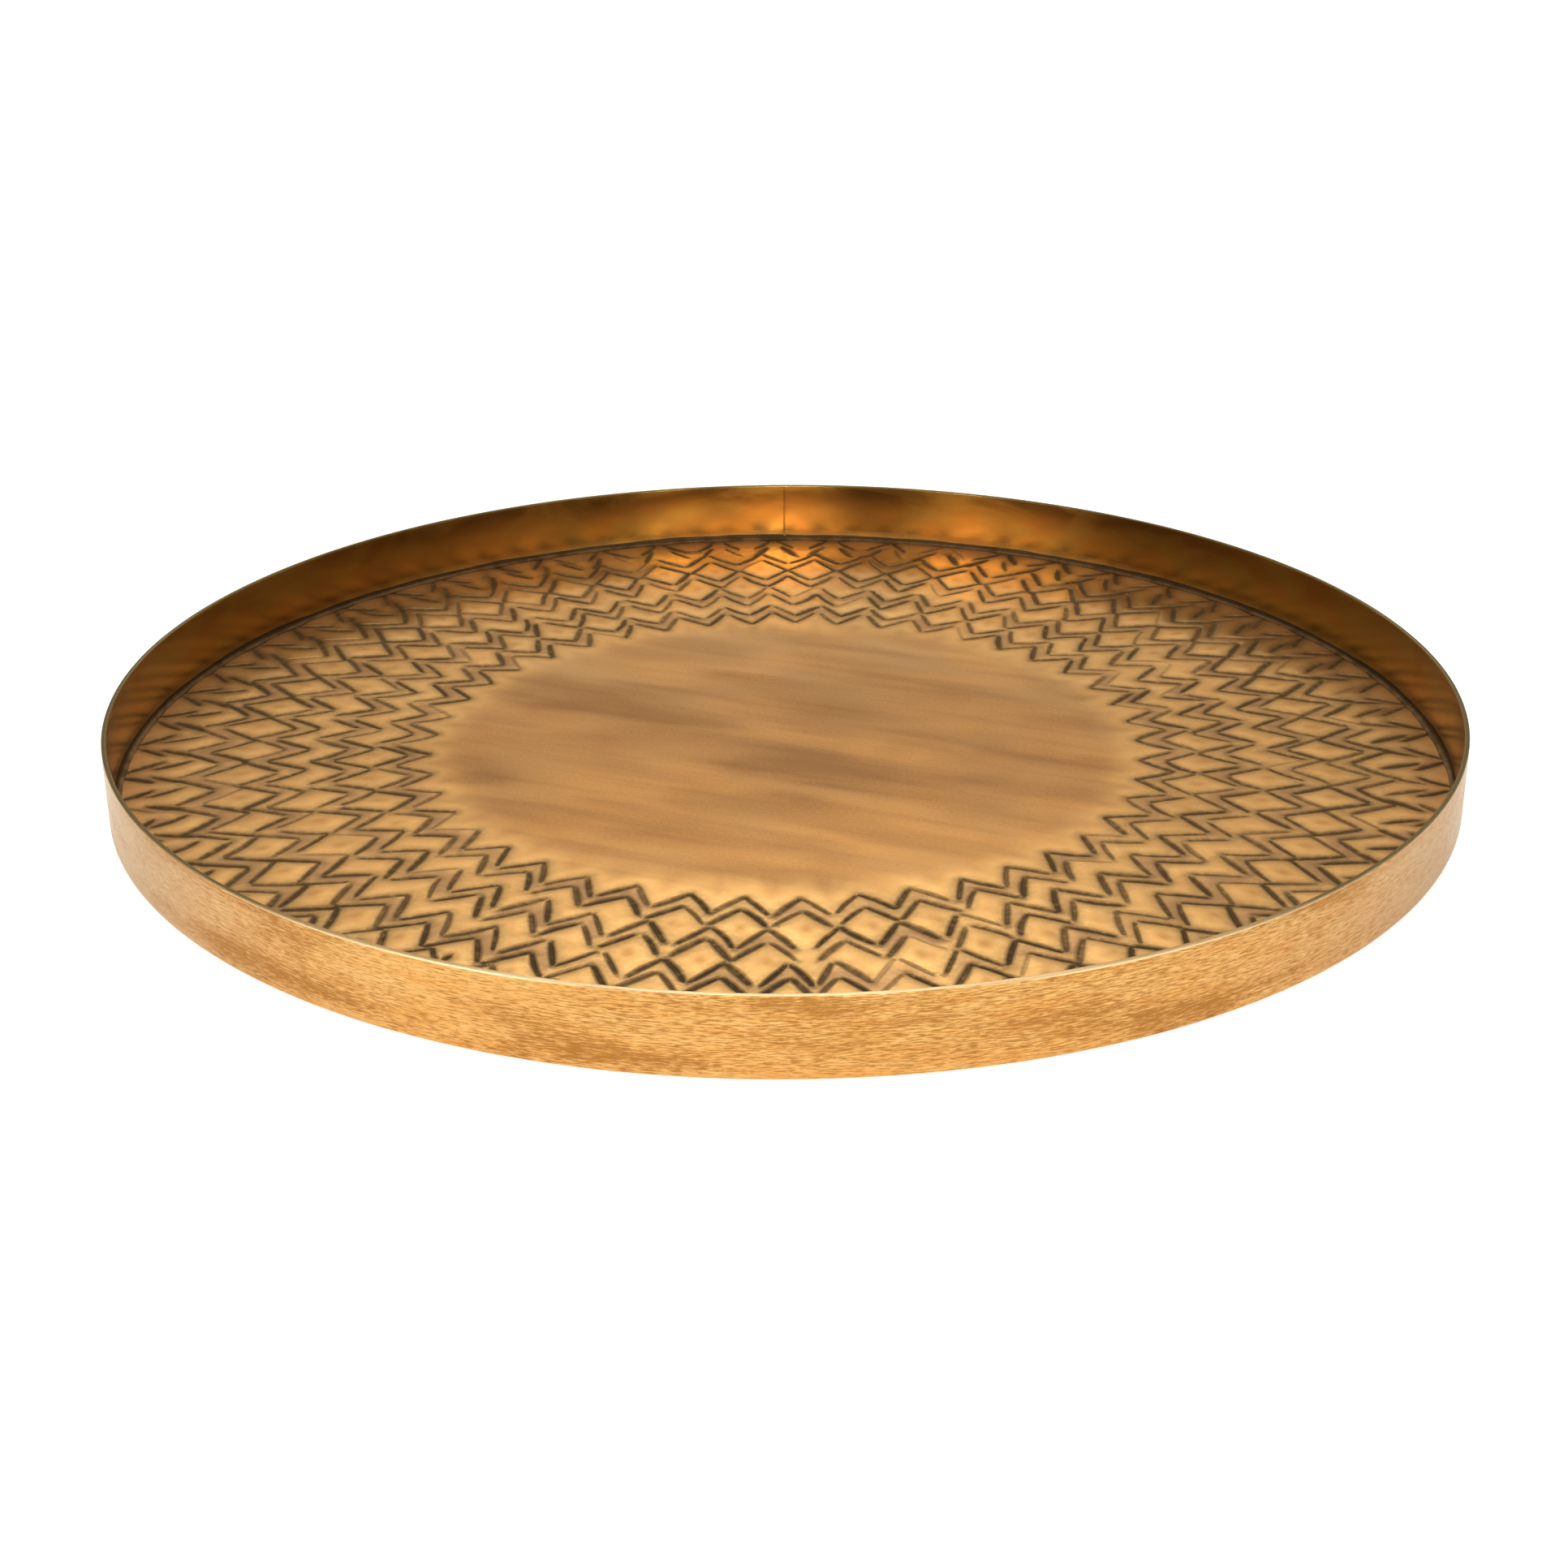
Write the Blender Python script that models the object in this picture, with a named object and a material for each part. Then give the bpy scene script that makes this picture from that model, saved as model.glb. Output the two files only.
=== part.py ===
"""Round brass tray: a flat floor sheet soldered inside a low, straight rim band.

Metres, +Z up. The origin is at the centre of the underside, on the surface that the tray rests on.
The rim band is one strip of sheet rolled into a ring, and its two ends meet at the back (+Y).
"""
import math

import bmesh
import bpy
from mathutils import Matrix

# Driving dimensions
TRAY_DIAMETER = 0.400
TRAY_HEIGHT = 0.022
RIM_SHEET = 0.0015              # thickness of the rim band's sheet
FLOOR_SHEET = 0.0012            # thickness of the floor sheet
JOINT_GAP = 0.0003              # clearance between pieces that the solder joins
FILLET_LEG = 0.0022             # solder fillet: how far it runs in from the wall, and up it
SEAM_WIDTH = 0.0010             # solder strip between the two ends of the rim band
RIM_EDGE_ROUND = 0.0004         # filed round on the band's top and bottom edges
FLOOR_EDGE_ROUND = 0.0002       # broken edge of the floor sheet
SEGMENTS = 120                  # steps round the tray
EDGE_STEPS = 2                  # steps in each filed round of the band
FILLET_STEPS = 3                # steps across the solder fillet's hollow face

# Worked out from them
RIM_OUTER = TRAY_DIAMETER / 2
RIM_INNER = RIM_OUTER - RIM_SHEET
FLOOR_RADIUS = RIM_INNER - JOINT_GAP
FILLET_OUTER = RIM_INNER - JOINT_GAP
FILLET_BOTTOM = FLOOR_SHEET + JOINT_GAP
SEAM_SLOT_ANGLE = (SEAM_WIDTH + 2 * JOINT_GAP) / RIM_OUTER
BACK = math.pi / 2

SHARP_ANGLE = math.radians(35)


def clear_scene():
    """Remove every object, so that the model stands alone."""
    for old in list(bpy.data.objects):
        bpy.data.objects.remove(old, do_unlink=True)


def metal(name, color, roughness):
    """A plain metal with the piece's own colour and polish."""
    material = bpy.data.materials.new(name)
    material.use_nodes = True
    shader = material.node_tree.nodes["Principled BSDF"]
    shader.inputs["Base Color"].default_value = (*color, 1.0)
    shader.inputs["Metallic"].default_value = 1.0
    shader.inputs["Roughness"].default_value = roughness
    material.diffuse_color = (*color, 1.0)
    return material


def add_object(name, bm, material):
    """Turn a bmesh into a smooth-shaded object with one material."""
    bmesh.ops.recalc_face_normals(bm, faces=bm.faces)
    mesh = bpy.data.meshes.new(name)
    bm.to_mesh(mesh)
    bm.free()
    mesh.materials.append(material)
    mesh.shade_smooth()
    mesh.set_sharp_from_angle(angle=SHARP_ANGLE)
    obj = bpy.data.objects.new(name, mesh)
    bpy.context.scene.collection.objects.link(obj)
    return obj


def outline_edges(bm, outline):
    """A closed outline of (radius, height) points, drawn in the XZ plane."""
    verts = [bm.verts.new((radius, 0.0, height)) for radius, height in outline]
    edges = [bm.edges.new((verts[i - 1], verts[i])) for i in range(len(verts))]
    return verts + edges


def turned_ring(outline, start=0.0, sweep=2 * math.pi, steps=SEGMENTS):
    """Turn an outline about +Z; a sweep short of a full turn gets flat ends."""
    bm = bmesh.new()
    geometry = outline_edges(bm, outline)
    bmesh.ops.rotate(bm, verts=bm.verts, cent=(0, 0, 0),
                     matrix=Matrix.Rotation(start, 3, "Z"))
    bmesh.ops.spin(bm, geom=geometry, cent=(0, 0, 0), axis=(0, 0, 1),
                   angle=sweep, steps=steps)
    if sweep < 2 * math.pi:
        bmesh.ops.holes_fill(bm, edges=bm.edges)
    else:
        bmesh.ops.remove_doubles(bm, verts=bm.verts, dist=1e-6)
    return bm


def rounded_corner(centre, radius, first_angle, steps):
    """Points of a quarter round, counter-clockwise from first_angle."""
    return [(centre[0] + radius * math.cos(first_angle + i * math.pi / 2 / steps),
             centre[1] + radius * math.sin(first_angle + i * math.pi / 2 / steps))
            for i in range(steps + 1)]


def rim_band():
    """The wall: a strip rolled into a ring, open by a narrow slot at the back."""
    inner, outer, r = RIM_INNER, RIM_OUTER, RIM_EDGE_ROUND
    outline = (rounded_corner((outer - r, r), r, -math.pi / 2, EDGE_STEPS)
               + rounded_corner((outer - r, TRAY_HEIGHT - r), r, 0.0, EDGE_STEPS)
               + rounded_corner((inner + r, TRAY_HEIGHT - r), r, math.pi / 2, EDGE_STEPS)
               + rounded_corner((inner + r, r), r, math.pi, EDGE_STEPS))
    bm = turned_ring(outline, start=BACK + SEAM_SLOT_ANGLE / 2,
                     sweep=2 * math.pi - SEAM_SLOT_ANGLE)
    return add_object("rim_band", bm, metal("rim_brass", (0.60, 0.36, 0.14), 0.34))


def seam_solder():
    """The solder that closes the slot, flush with the wall on both sides."""
    depth = RIM_SHEET - 2 * RIM_EDGE_ROUND
    bm = bmesh.new()
    bmesh.ops.create_cube(bm, size=1.0)
    bmesh.ops.scale(bm, verts=bm.verts,
                    vec=(SEAM_WIDTH, depth, TRAY_HEIGHT - 2 * RIM_EDGE_ROUND))
    bmesh.ops.bevel(bm, geom=bm.verts[:] + bm.edges[:], offset=SEAM_WIDTH / 8,
                    segments=1, affect="EDGES")
    obj = add_object("seam_solder", bm, metal("solder_brass", (0.50, 0.34, 0.17), 0.45))
    obj.location = (0.0, (RIM_OUTER + RIM_INNER) / 2, TRAY_HEIGHT / 2)
    return obj


def floor_disc():
    """The flat floor sheet, cut round to drop inside the band."""
    bm = bmesh.new()
    bmesh.ops.create_cone(bm, cap_ends=True, segments=SEGMENTS, depth=FLOOR_SHEET,
                          radius1=FLOOR_RADIUS, radius2=FLOOR_RADIUS)
    obj = add_object("floor_disc", bm, metal("floor_brass", (0.62, 0.37, 0.14), 0.30))
    obj.location = (0.0, 0.0, FLOOR_SHEET / 2)
    bevel = obj.modifiers.new("broken_edge", "BEVEL")
    bevel.width = FLOOR_EDGE_ROUND
    bevel.segments = 1
    bevel.limit_method = "ANGLE"
    bevel.angle_limit = SHARP_ANGLE
    return obj


def corner_solder():
    """The ring of solder in the inner corner, with a slightly hollow face."""
    corner = (FILLET_OUTER, FILLET_BOTTOM)
    hollow = [(FILLET_OUTER - FILLET_LEG * (1 - math.sin(t)),
               FILLET_BOTTOM + FILLET_LEG * (1 - math.cos(t)))
              for t in (i * math.pi / 2 / FILLET_STEPS for i in range(FILLET_STEPS + 1))]
    bm = turned_ring([corner] + hollow[::-1])
    return add_object("corner_solder", bm, metal("solder_brass", (0.50, 0.34, 0.17), 0.45))


def main():
    clear_scene()
    assembly = bpy.data.objects.new("tray", None)
    bpy.context.scene.collection.objects.link(assembly)
    for piece in (floor_disc(), rim_band(), corner_solder(), seam_solder()):
        piece.parent = assembly


main()
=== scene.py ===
"""Looks of the round brass tray: hand-punched floor, brushed rim band and solder joints.

Metres, +Z up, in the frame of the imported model. The front of the tray is towards -Y.
"""
import math
from collections import namedtuple

import bpy
import numpy as np
from mathutils import Matrix, Vector
from mathutils.geometry import delaunay_2d_cdt


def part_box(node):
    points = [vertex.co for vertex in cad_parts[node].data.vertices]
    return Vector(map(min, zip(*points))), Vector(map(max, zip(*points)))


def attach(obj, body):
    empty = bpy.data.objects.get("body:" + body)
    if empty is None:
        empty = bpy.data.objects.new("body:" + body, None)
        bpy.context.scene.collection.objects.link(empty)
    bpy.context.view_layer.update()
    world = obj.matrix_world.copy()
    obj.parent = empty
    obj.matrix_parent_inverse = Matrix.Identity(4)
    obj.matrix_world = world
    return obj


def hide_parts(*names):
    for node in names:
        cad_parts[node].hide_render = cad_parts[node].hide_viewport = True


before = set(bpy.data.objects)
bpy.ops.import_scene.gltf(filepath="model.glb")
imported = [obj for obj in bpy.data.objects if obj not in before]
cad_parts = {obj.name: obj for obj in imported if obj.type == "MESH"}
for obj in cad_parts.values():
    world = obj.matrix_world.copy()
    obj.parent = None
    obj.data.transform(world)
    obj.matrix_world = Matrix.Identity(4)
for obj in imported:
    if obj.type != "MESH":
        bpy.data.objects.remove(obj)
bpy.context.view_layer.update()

MM = 0.001
RANDOM = np.random.default_rng(20)

# ---------------------------------------------------------------- sizes, from the frame
_, RIM_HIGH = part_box("rim_band")
DISC_LOW, DISC_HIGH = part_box("floor_disc")
_, FILLET_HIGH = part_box("corner_solder")
SEAM_LOW, SEAM_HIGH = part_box("seam_solder")

TRAY_RADIUS = RIM_HIGH.x
TRAY_HEIGHT = RIM_HIGH.z
DISC_RADIUS = DISC_HIGH.x
FLOOR_TOP = DISC_HIGH.z
RIM_SHEET = 1.5 * MM            # the CAD's own value, which a ring's box doesn't show
RIM_INNER = TRAY_RADIUS - RIM_SHEET

# ---------------------------------------------------------------- the punched pattern
# A row is a ring of V marks, apex inwards: radii in parts of the tray's radius, spreads in degrees
# from the V's middle line to each arm's inner and outer end.
Row = namedtuple("Row", "apex end apex_spread end_spread")
# A band is two rows struck at the same angles, from `first` round to the last V, which leaves
# `closing` degrees of room before the first one again. Front is 0 degrees, right is positive.
# `weight` is how heavy its strikes are.
Band = namedtuple("Band", "count first closing weight rows")
BANDS = (
    Band(45, 2.2, 8.0, 1.0,
         (Row(0.5375, 0.5850, 0.25, 3.55), Row(0.5740, 0.6170, 0.30, 3.45))),
    Band(50, 6.5, 8.5, 1.0,
         (Row(0.6280, 0.6795, 0.30, 3.15), Row(0.6655, 0.7120, 0.40, 3.10))),
    Band(57, 5.0, 4.7, 1.0,
         (Row(0.7245, 0.7775, 0.25, 2.80), Row(0.7625, 0.8120, 0.25, 2.85))),
    Band(57, 1.0, 2.9, 1.05,
         (Row(0.8125, 0.8680, 0.20, 2.95), Row(0.8520, 0.9040, 0.25, 2.85))),
    Band(57, -0.5, 3.2, 1.25,
         (Row(0.8980, 0.9420, 0.85, 2.20), Row(0.9420, 0.9790, 0.90, 2.50))),
)
GROOVE_HALF_WIDTH = 0.94 * MM
GROOVE_DEPTH = 0.42 * MM
SHOULDER_DEPTH = 0.22 * MM      # how far the sheet is drawn down beside a mark
SHOULDER_REACH = 2.2 * MM
STAIN_AND_SHADE_REACH = 1.5 * MM          # how far the dark patina and painted shade spread from a mark
POLISH_REACH = 6.5 * MM         # how far the rubbed, brighter metal reaches from a mark
WEAK_MARKS = 0.05               # share of the strikes that hardly bit
WEAK_FORCE = (0.30, 0.50)
FULL_FORCE = (0.80, 1.12)
ROUND_PUNCH = (-31.5, 0.8225)   # one stray blow of a round punch, at the front left
ROUND_HALF_LENGTH = 1.2 * MM
ROUND_HALF_WIDTH = 0.95 * MM
RUBBED_VALLEYS = 0.30           # share of the V's whose strip between the rows is rubbed clean
RUBBED_STAIN = (0.05, 0.45)
FULL_STAIN = (0.60, 1.0)
VALLEY_DEPTH = 0.06 * MM
SPOT_SIZE = 1.3 * MM            # worn spot in the middle of a closed diamond
WAVE_HEIGHT = 0.012 * MM        # each of the three slow waves in the sheet
WAVE_ROOM = 0.04 * MM           # keeps the waves' crests below the floor's own height

# How uneven the hand work is, as standard deviations: degrees, and parts of the tray's radius.
V_SWING = 0.12
APEX_SWING = 0.10
END_SWING = 0.12
ROW_SLIP = 0.0012
END_SLIP = 0.0010


def polar(degrees, radius):
    """Plan position at an angle from the front, positive to the right."""
    angle = math.radians(degrees)
    return np.array((radius * math.sin(angle), -radius * math.cos(angle)))


Mark = namedtuple("Mark", "start end bow width depth stain")
# The strip between an arm of a band's inner row and the same arm of its outer row.
Valley = namedtuple("Valley", "inner outer stain")


def strike_arm(middle, side, row, lift, narrowed, weight):
    """One arm of a V: a strike that is a little off in its place, length and force."""
    start = polar(middle + side * (row.apex_spread + RANDOM.normal(0, APEX_SWING)),
                  (row.apex + lift + RANDOM.normal(0, END_SLIP)) * TRAY_RADIUS)
    end = polar(middle + side * (row.end_spread * narrowed + RANDOM.normal(0, END_SWING)),
                (row.end + lift + RANDOM.normal(0, END_SLIP)) * TRAY_RADIUS)
    weak = RANDOM.random() < WEAK_MARKS
    force = RANDOM.uniform(*(WEAK_FORCE if weak else FULL_FORCE))
    return Mark(start, end,
                bow=side * RANDOM.normal(0.15, 0.22) * MM,
                width=GROOVE_HALF_WIDTH * (0.6 + 0.4 * force) * weight * RANDOM.uniform(0.80, 1.18),
                depth=GROOVE_DEPTH * force,
                stain=min(1.0, force * weight * RANDOM.uniform(0.72, 1.12)))


def punch_marks():
    """Every arm of every V as one strike of a straight punch, and the stained strips between."""
    marks, valleys = [], []
    for band in BANDS:
        pitch = (360 - band.closing) / (band.count - 1)
        for number in range(band.count):
            middle = band.first + pitch * number + RANDOM.normal(0, V_SWING)
            # Where the ring closes with less room than a V needs, the two facing arms are narrower.
            room = min(1.0, band.closing / pitch) if number in (0, band.count - 1) else 1.0
            wear_and_highlight = RANDOM.random() < RUBBED_VALLEYS
            for row in band.rows:
                lift = RANDOM.normal(0, ROW_SLIP)
                for side in (-1, 1):
                    narrowed = room if (side < 0) == (number == 0) else 1.0
                    marks.append(strike_arm(middle, side, row, lift, narrowed, band.weight))
            for inner, outer in ((marks[-4], marks[-2]), (marks[-3], marks[-1])):
                stain = RANDOM.uniform(*(RUBBED_STAIN if wear_and_highlight else FULL_STAIN))
                valleys.append(Valley(inner, outer, stain))
    degrees, share = ROUND_PUNCH
    near, far = (polar(degrees, share * TRAY_RADIUS + step)
                 for step in (-ROUND_HALF_LENGTH, ROUND_HALF_LENGTH))
    marks.append(Mark(near, far, bow=0.0, width=ROUND_HALF_WIDTH, depth=GROOVE_DEPTH, stain=1.0))
    return marks, valleys


def mark_frame(mark):
    """Length, unit vector along and unit vector across a mark."""
    along = mark.end - mark.start
    length = float(np.hypot(*along))
    along = along / length
    return length, along, np.array((-along[1], along[0]))


def half_width(share):
    """A mark's half width along its length, as a share of its widest."""
    return 0.74 + 0.26 * np.sin(np.pi * np.clip(share, 0, 1)) ** 0.8


ALONG_STATIONS = np.linspace(-0.06, 1.06, 11)
ACROSS_STATIONS = np.array((-1.75, -1.05, -0.55, 0.0, 0.55, 1.05, 1.75))


def mark_points(mark):
    """Mesh points that follow a mark's length and cross-section."""
    length, along, across = mark_frame(mark)
    share = np.repeat(ALONG_STATIONS, len(ACROSS_STATIONS))
    offset = np.tile(ACROSS_STATIONS, len(ALONG_STATIONS)) * mark.width * half_width(share)
    offset = offset + mark.bow * np.sin(np.pi * np.clip(share, 0, 1))
    return mark.start + np.outer(share * length, along) + np.outer(offset, across)


def thinned(points, spacing):
    """The points, less those in a grid cell that an earlier point holds."""
    cells = set()
    chosen = []
    for index, cell in enumerate(map(tuple, np.floor(points / spacing).astype(int))):
        if cell not in cells:
            cells.add(cell)
            chosen.append(index)
    return points[chosen]


def triangular_grid(spacing, inner, outer):
    """Points of an even triangular grid between two radii."""
    count = int(outer / spacing) + 1
    rows = np.arange(-count, count + 1)
    x = (rows[None, :] + 0.5 * (rows[:, None] % 2)) * spacing
    y = np.repeat(rows[:, None] * spacing * math.sqrt(3) / 2, len(rows), axis=1)
    grid = np.column_stack((x.ravel(), y.ravel()))
    radius = np.hypot(grid[:, 0], grid[:, 1])
    return grid[(radius >= inner) & (radius <= outer)]


def far_from(points, others, gap):
    """Those points with no other point within about the gap."""
    taken = set()
    for cell in map(tuple, np.floor(others / gap).astype(int)):
        taken.update((cell[0] + i, cell[1] + j) for i in (-1, 0, 1) for j in (-1, 0, 1))
    free = [tuple(cell) not in taken for cell in np.floor(points / gap).astype(int)]
    return points[np.array(free)]


class Floor:
    """Heights and stains of the punched floor at a set of plan points."""

    def __init__(self, points):
        self.points = points
        self.groove = np.zeros(len(points))     # depth of the cut itself
        self.shoulder = np.zeros(len(points))   # 1 right beside a mark, falling to 0
        self.core = np.zeros(len(points))       # dark patina inside the marks
        self.halo = np.zeros(len(points))       # olive stain and painted shade that spread round them
        self.valley = np.zeros(len(points))     # brown stain between a band's two rows
        self.spot = np.zeros(len(points))       # worn coppery spot on a diamond's crown
        self.distance = np.ones(len(points))    # to the nearest mark's edge

    def near(self, centre, reach):
        """Which points lie within reach of a centre, both ways."""
        close = np.abs(self.points - centre) < reach
        return np.nonzero(close[:, 0] & close[:, 1])[0]

    def strike(self, mark):
        """Cut one mark, draw the sheet down beside it and darken it."""
        length, along, across = mark_frame(mark)
        middle = (mark.start + mark.end) / 2
        index = self.near(middle, length / 2 + 2 * POLISH_REACH)
        offset = self.points[index] - mark.start
        share = offset @ along / length
        held = np.clip(share, 0, 1)
        sideways = offset @ across - mark.bow * np.sin(np.pi * held)
        beyond = (share - held) * length
        distance = np.hypot(sideways, beyond)
        width = mark.width * half_width(held)
        inside = np.clip(1 - (distance / (1.12 * width)) ** 2, 0, 1)
        strength = 0.75 + 0.25 * np.sin(np.pi * held)
        outside = np.clip(distance - width, 0, None)
        self.distance[index] = np.minimum(self.distance[index], outside)
        self.groove[index] = np.maximum(self.groove[index], mark.depth * strength * inside ** 1.4)
        shoulder = np.exp(-(outside / SHOULDER_REACH) ** 2) * mark.depth / GROOVE_DEPTH
        self.shoulder[index] = np.maximum(self.shoulder[index], shoulder)
        core = mark.stain * np.clip(1.5 * inside ** 0.9, 0, 1)
        self.core[index] = np.maximum(self.core[index], core)
        # The halo is olive stain and painted shade on the slopes beside the mark.
        halo = 0.68 * mark.stain * np.exp(-(outside / STAIN_AND_SHADE_REACH) ** 1.4)
        self.halo[index] = 1 - (1 - self.halo[index]) * (1 - halo)

    def soak(self, valley):
        """Stain the strip between two arms of a band."""
        first = (valley.inner.start + valley.outer.start) / 2
        along = (valley.inner.end + valley.outer.end) / 2 - first
        length = float(np.hypot(*along))
        along = along / length
        across = np.array((-along[1], along[0]))
        index = self.near(first + along * length / 2, length)
        offset = self.points[index] - first
        share = offset @ along / length
        gap_first = abs((valley.outer.start - valley.inner.start) @ across)
        gap_last = abs((valley.outer.end - valley.inner.end) @ across)
        half_gap = 0.5 * (gap_first + (gap_last - gap_first) * np.clip(share, 0, 1))
        sideways = np.abs(offset @ across) / half_gap
        ends = np.clip((share + 0.14) / 0.22, 0, 1) * np.clip((1.10 - share) / 0.22, 0, 1)
        soaked = valley.stain * np.clip((1.30 - sideways) / 0.45, 0, 1) * ends
        self.valley[index] = np.maximum(self.valley[index], soaked)

    def wear(self, centre, size):
        """Rub one spot, longer outwards than round the tray."""
        index = self.near(centre, 3 * size)
        offset = self.points[index] - centre
        outward = centre / np.hypot(*centre)
        radial = offset @ outward / 1.7
        around = offset @ np.array((-outward[1], outward[0]))
        spot = np.exp(-(radial ** 2 + around ** 2) / size ** 2)
        self.spot[index] = np.maximum(self.spot[index], spot)

    @property
    def polish(self):
        """The rubbed, brighter metal: 1 at a mark, falling to 0."""
        return np.exp(-(self.distance / POLISH_REACH) ** 2)

    def heights(self):
        """The sheet's upper face, slightly wavy, with every mark cut into it."""
        x, y = self.points.T
        waves = (np.sin(71 * x + 23 * y + 1.0) + np.sin(-39 * x + 83 * y + 2.2)
                 + np.sin(57 * x - 61 * y + 4.1)) * WAVE_HEIGHT
        return (FLOOR_TOP - WAVE_ROOM + waves - self.groove
                - SHOULDER_DEPTH * self.shoulder - VALLEY_DEPTH * self.valley)


CLOSED_PHASE = 0.22     # a V this far, in pitches, off the next band's gap still closes a diamond


def diamond_centres():
    """Centres of the closed diamonds, where a V faces the gap between two of the next band."""
    centres = []
    for inner, outer in zip(BANDS, BANDS[1:]):
        inner_pitch = (360 - inner.closing) / (inner.count - 1)
        outer_pitch = (360 - outer.closing) / (outer.count - 1)
        low, high = inner.rows[1].apex, outer.rows[0].end
        for number in range(inner.count):
            middle = inner.first + number * inner_pitch
            phase = ((middle - outer.first) / outer_pitch) % 1
            if abs(phase - 0.5) < CLOSED_PHASE:
                centres.append(polar(middle + RANDOM.normal(0, 0.3),
                                     ((low + high) / 2 + RANDOM.normal(0, 0.003)) * TRAY_RADIUS))
    return centres


# The floor's mesh: how far apart its points are along the marks, between them and in the plain
# centre, and how much room the edge and the marks' own points get.
DETAIL_SPACING = 0.36 * MM
FILL_SPACING = 1.5 * MM
CENTRE_SPACING = 5 * MM
FILL_GAP = 0.8 * MM
BOUNDARY_STEPS = 360


def punched_floor(material):
    """The floor sheet as one closed mesh, finely meshed along the marks."""
    marks, valleys = punch_marks()
    detail = thinned(np.vstack([mark_points(m) for m in marks]), DETAIL_SPACING)
    pattern_inner = (BANDS[0].rows[0].apex - 0.02) * TRAY_RADIUS
    detail_limit = DISC_RADIUS - FILL_GAP
    detail = detail[np.hypot(detail[:, 0], detail[:, 1]) < detail_limit]
    fill = far_from(triangular_grid(FILL_SPACING, pattern_inner, detail_limit), detail, FILL_GAP)
    centre = triangular_grid(CENTRE_SPACING, 0, pattern_inner - FILL_SPACING)
    turns = np.arange(BOUNDARY_STEPS) * 2 * math.pi / BOUNDARY_STEPS
    circle = np.column_stack((np.cos(turns), np.sin(turns)))
    boundary = circle * DISC_RADIUS
    plan = np.vstack((boundary, detail, fill, centre))
    _, _, faces, _, _, _ = delaunay_2d_cdt([Vector(p) for p in plan], [], [], 0, 1e-9)

    floor = Floor(plan)
    for mark in marks:
        floor.strike(mark)
    for valley in valleys:
        floor.soak(valley)
    for spot in diamond_centres():
        floor.wear(spot, SPOT_SIZE)
    top = np.column_stack((plan, floor.heights()))
    lower = np.column_stack((boundary, np.full(BOUNDARY_STEPS, DISC_LOW.z)))
    verts = np.vstack((top, lower, [(0, 0, DISC_LOW.z)]))
    first_lower, hub = len(top), len(top) + BOUNDARY_STEPS
    polygons = [tuple(f) for f in faces]
    for i in range(BOUNDARY_STEPS):
        j = (i + 1) % BOUNDARY_STEPS
        polygons.append((j, i, first_lower + i, first_lower + j))
        polygons.append((first_lower + j, first_lower + i, hub))
    piece = mesh_object("punched_floor", verts, polygons, material)
    pad = np.zeros(BOUNDARY_STEPS + 1)
    for name in ("core", "halo", "valley", "spot", "polish"):
        store(piece, name, np.concatenate((getattr(floor, name), pad)))
    return piece


# ---------------------------------------------------------------- mesh helpers
SHARP_ANGLE = math.radians(40)
ROUND_STEPS = 5


def mesh_object(name, verts, faces, material):
    """A smooth-shaded object with one material."""
    mesh = bpy.data.meshes.new(name)
    mesh.from_pydata([tuple(v) for v in verts], [], faces)
    mesh.materials.append(material)
    mesh.shade_smooth()
    mesh.set_sharp_from_angle(angle=SHARP_ANGLE)
    piece = bpy.data.objects.new(name, mesh)
    bpy.context.scene.collection.objects.link(piece)
    return piece


def store(piece, name, values):
    """Keep one number for each vertex, for the material to read."""
    attribute = piece.data.attributes.new(name, "FLOAT", "POINT")
    attribute.data.foreach_set("value", np.asarray(values, dtype=np.float32))


def turned(name, outline_at, steps, material):
    """A ring whose closed (radius, height) outline may vary with the angle."""
    rings = []
    for i in range(steps):
        angle = 2 * math.pi * i / steps
        outline = outline_at(angle)
        rings.append([(r * math.cos(angle), r * math.sin(angle), z) for r, z in outline])
    size = len(rings[0])
    faces = []
    for i in range(steps):
        here, there = i * size, ((i + 1) % steps) * size
        for k in range(size):
            m = (k + 1) % size
            faces.append((here + k, there + k, there + m, here + m))
    return mesh_object(name, [v for ring in rings for v in ring], faces, material)


def quarter_round(centre, radius, first):
    """Points of a quarter circle, counter-clockwise from the first angle in degrees."""
    angles = [math.radians(first + 90 * i / ROUND_STEPS) for i in range(ROUND_STEPS + 1)]
    return [(centre[0] + radius * math.cos(a), centre[1] + radius * math.sin(a)) for a in angles]


def ripple(angle, height, seed):
    """Slow unevenness of hand-rolled sheet, from -1 to 1, joined up round the ring."""
    total = 0.0
    for k, (waves, tilt) in enumerate(((7, 90), (13, -140), (23, 210), (37, -60))):
        total += math.sin(waves * angle + tilt * height + seed * (k + 1.7)) / (1 + 0.5 * k)
    return total / 2.6


# ---------------------------------------------------------------- the other pieces
RIM_STEPS = 480
HAIR = 0.02 * MM                # keeps two faces apart, and the wall within the CAD's size
WALL_ROWS = 9
WALL_RIPPLE = 0.05 * MM
EDGE_ROUND = 0.45 * MM


def rim_wall(material):
    """The rim band, with filed edges and the slight unevenness of rolled sheet."""
    heights = [TRAY_HEIGHT * i / WALL_ROWS for i in range(1, WALL_ROWS)]
    outer = TRAY_RADIUS - HAIR
    r = EDGE_ROUND
    section = quarter_round((outer - r, r), r, -90)
    section += [(outer, z) for z in heights]
    section += quarter_round((outer - r, TRAY_HEIGHT - r), r, 0)
    section += quarter_round((RIM_INNER + r, TRAY_HEIGHT - r), r, 90)
    section += [(RIM_INNER, z) for z in reversed(heights)]
    section += quarter_round((RIM_INNER + r, r), r, 180)

    def outline(angle):
        return [(x - WALL_RIPPLE * (1 + ripple(angle, z, 3.0)), z) for x, z in section]

    return turned("rim_wall", outline, RIM_STEPS, material)


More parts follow.
